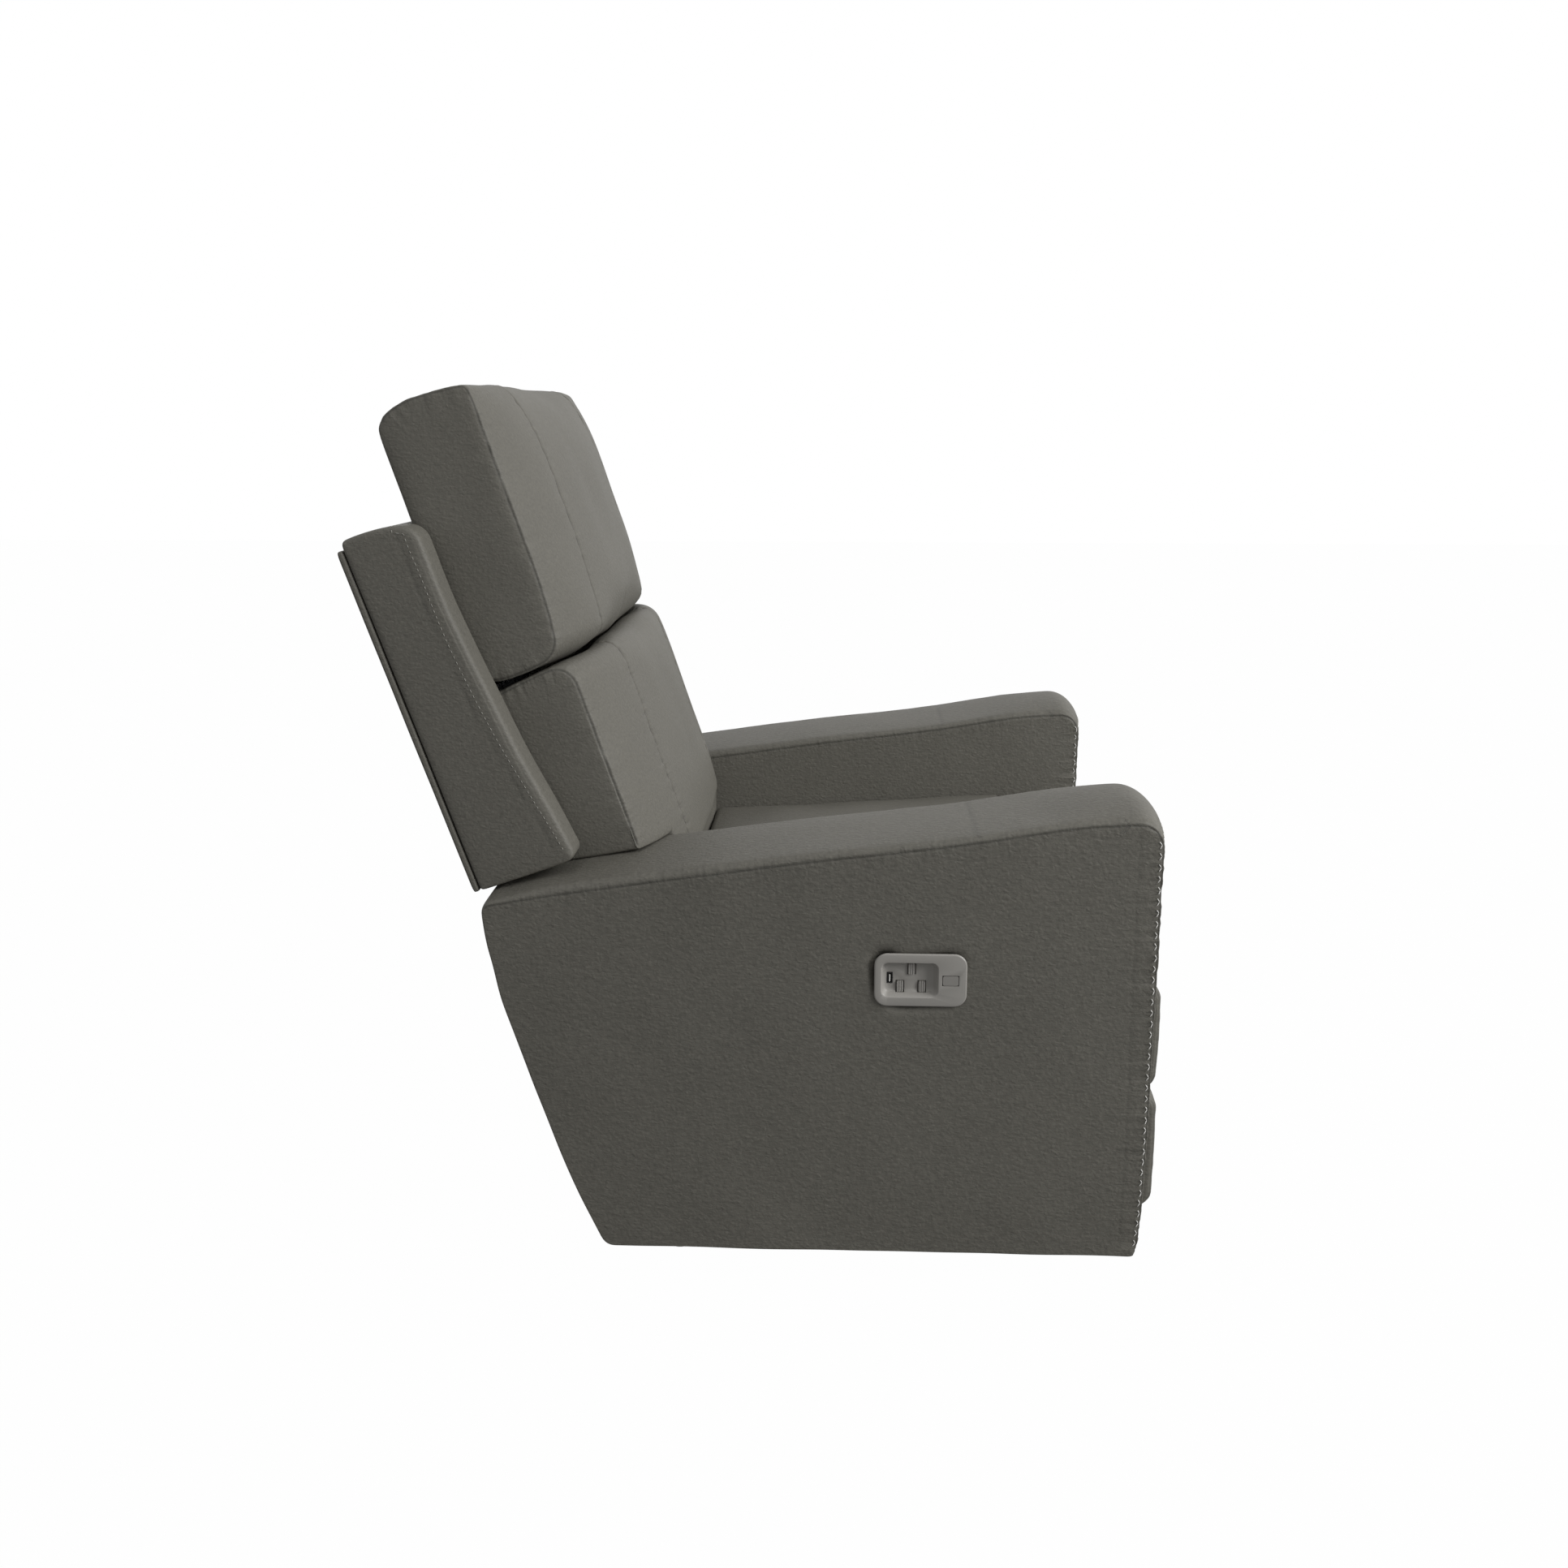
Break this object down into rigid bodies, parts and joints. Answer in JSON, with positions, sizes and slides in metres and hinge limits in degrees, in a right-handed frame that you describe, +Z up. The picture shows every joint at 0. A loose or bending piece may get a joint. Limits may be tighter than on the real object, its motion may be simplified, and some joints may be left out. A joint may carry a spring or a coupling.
{
  "type": "recliner armchair",
  "caption": "Padded recliner armchair with winged back, tilting head cushion, folding legrest on a link mechanism and a control plate in one arm.",
  "frame": {"origin": "on the floor, under the middle of the chair with the back upright and the legrest folded", "axes": "+X to the sitter's left, -Y the way the chair faces, +Z up"},
  "size_m": [0.8735, 1.036, 1.1188],
  "materials": {
    "leather_arms": "matte",
    "leather_cushions": "matte",
    "leather_back": "matte",
    "plywood": "matte",
    "timber": "matte",
    "mechanism_steel": "satin",
    "pin_steel": "satin",
    "spring_steel": "satin",
    "roller_nylon": "satin",
    "foot_plastic": "matte",
    "webbing": "matte",
    "control_plastic": "satin",
    "button_plastic": "satin",
    "dark_plastic": "satin"
  },
  "bodies": {
    "base": {"arm_frame_right": "plywood", "arm_frame_left": "plywood", "arm_cover_right": "leather_arms", "arm_cover_left": "leather_arms", "base_rail_front": "timber", "base_rail_rear": "timber", "feet": "foot_plastic", "guide_plates": "mechanism_steel", "control_bezel": "control_plastic", "control_housing": "dark_plastic", "usb_port": "dark_plastic", "power_inlet": "dark_plastic"},
    "upper_button": {"button_upper": "button_plastic"},
    "lower_left_button": {"button_lower_left": "button_plastic"},
    "lower_right_button": {"button_lower_right": "button_plastic"},
    "home_push": {"home_button": "button_plastic"},
    "seat": {"seat_side_plates": "mechanism_steel", "guide_rollers": "roller_nylon", "seat_rail_front": "timber", "seat_rail_rear": "timber", "seat_side_rails": "timber", "seat_springs": "spring_steel", "seat_cushion": "leather_cushions", "seat_cross_tube": "mechanism_steel", "legrest_pivot_pins": "pin_steel", "back_hinge_pins": "pin_steel"},
    "back": {"back_brackets": "mechanism_steel", "back_posts": "timber", "back_rail_bottom": "timber", "back_rail_middle": "timber", "back_rail_lumbar": "timber", "back_rail_top": "timber", "back_webbing": "webbing", "wing_frames": "plywood", "wing_right": "leather_back", "wing_left": "leather_back", "back_outer_panel": "leather_back", "back_top_pad": "leather_back", "lumbar_cushion": "leather_cushions", "headrest_brackets": "mechanism_steel"},
    "headrest": {"headrest_arms": "mechanism_steel", "headrest_board": "plywood", "headrest_pins": "pin_steel", "head_cushion": "leather_cushions"},
    "legrest_cranks": {"crank_links": "mechanism_steel", "legrest_torque_tube": "mechanism_steel", "crank_pins": "pin_steel"},
    "legrest_followers": {"follower_links": "mechanism_steel"},
    "legrest_front_links": {"front_links": "mechanism_steel", "front_link_pins": "pin_steel"},
    "legrest_drag_links": {"drag_links": "mechanism_steel"},
    "legrest": {"legrest_brackets": "mechanism_steel", "legrest_bracket_pins": "pin_steel", "legrest_board": "plywood", "legrest_pad_upper": "leather_cushions", "legrest_pad_lower": "leather_cushions"}
  },
  "joints": [
    {"name": "seat_slide", "type": "slide", "parent": "base", "child": "seat", "axis": [0, -0.9455, 0.3256], "range_m": [0, 0.042]},
    {"name": "recline", "type": "hinge", "parent": "seat", "child": "back", "pos_m": [0, 0.28915, 0.35723], "axis": [-1, 0, 0], "range_deg": [0, 30]},
    {"name": "headrest_tilt", "type": "hinge", "parent": "back", "child": "headrest", "pos_m": [0, 0.37032, 0.8602], "axis": [1, 0, 0], "range_deg": [0, 30]},
    {"name": "legrest_fold", "type": "hinge", "parent": "seat", "child": "legrest_cranks", "pos_m": [0, -0.242, 0.31], "axis": [-1, 0, 0], "range_deg": [0, 90]},
    {"name": "legrest_follower_swing", "type": "hinge", "parent": "seat", "child": "legrest_followers", "pos_m": [0, -0.29185, 0.33324], "axis": [-1, 0, 0], "range_deg": [0, 90]},
    {"name": "front_link_fold", "type": "hinge", "parent": "legrest_cranks", "child": "legrest_front_links", "pos_m": [0, -0.21336, 0.07675], "axis": [-1, 0, 0], "range_deg": [-90, 0]},
    {"name": "drag_link_fold", "type": "hinge", "parent": "legrest_cranks", "child": "legrest_drag_links", "pos_m": [0, -0.22006, 0.13134], "axis": [-1, 0, 0], "range_deg": [-90, 0]},
    {"name": "legrest_turn", "type": "hinge", "parent": "legrest_front_links", "child": "legrest", "pos_m": [0, -0.42634, 0.17607], "axis": [-1, 0, 0], "range_deg": [0, 90]},
    {"name": "upper_press", "type": "slide", "parent": "base", "child": "upper_button", "axis": [1, 0, 0], "range_m": [0, 0.0015], "stiffness_N_per_m": 400},
    {"name": "lower_left_press", "type": "slide", "parent": "base", "child": "lower_left_button", "axis": [1, 0, 0], "range_m": [0, 0.0015], "stiffness_N_per_m": 400},
    {"name": "lower_right_press", "type": "slide", "parent": "base", "child": "lower_right_button", "axis": [1, 0, 0], "range_m": [0, 0.0015], "stiffness_N_per_m": 400},
    {"name": "home_press", "type": "slide", "parent": "base", "child": "home_push", "axis": [1, 0, 0], "range_m": [0, 0.0015], "stiffness_N_per_m": 400}
  ],
  "couplings": [
    {"joint": "seat_slide", "follows": "recline", "m_per_rad": 0.080214},
    {"joint": "legrest_follower_swing", "follows": "legrest_fold", "ratio": 1},
    {"joint": "front_link_fold", "follows": "legrest_fold", "ratio": -1},
    {"joint": "drag_link_fold", "follows": "legrest_fold", "ratio": -1},
    {"joint": "legrest_turn", "follows": "legrest_fold", "ratio": 1}
  ]
}
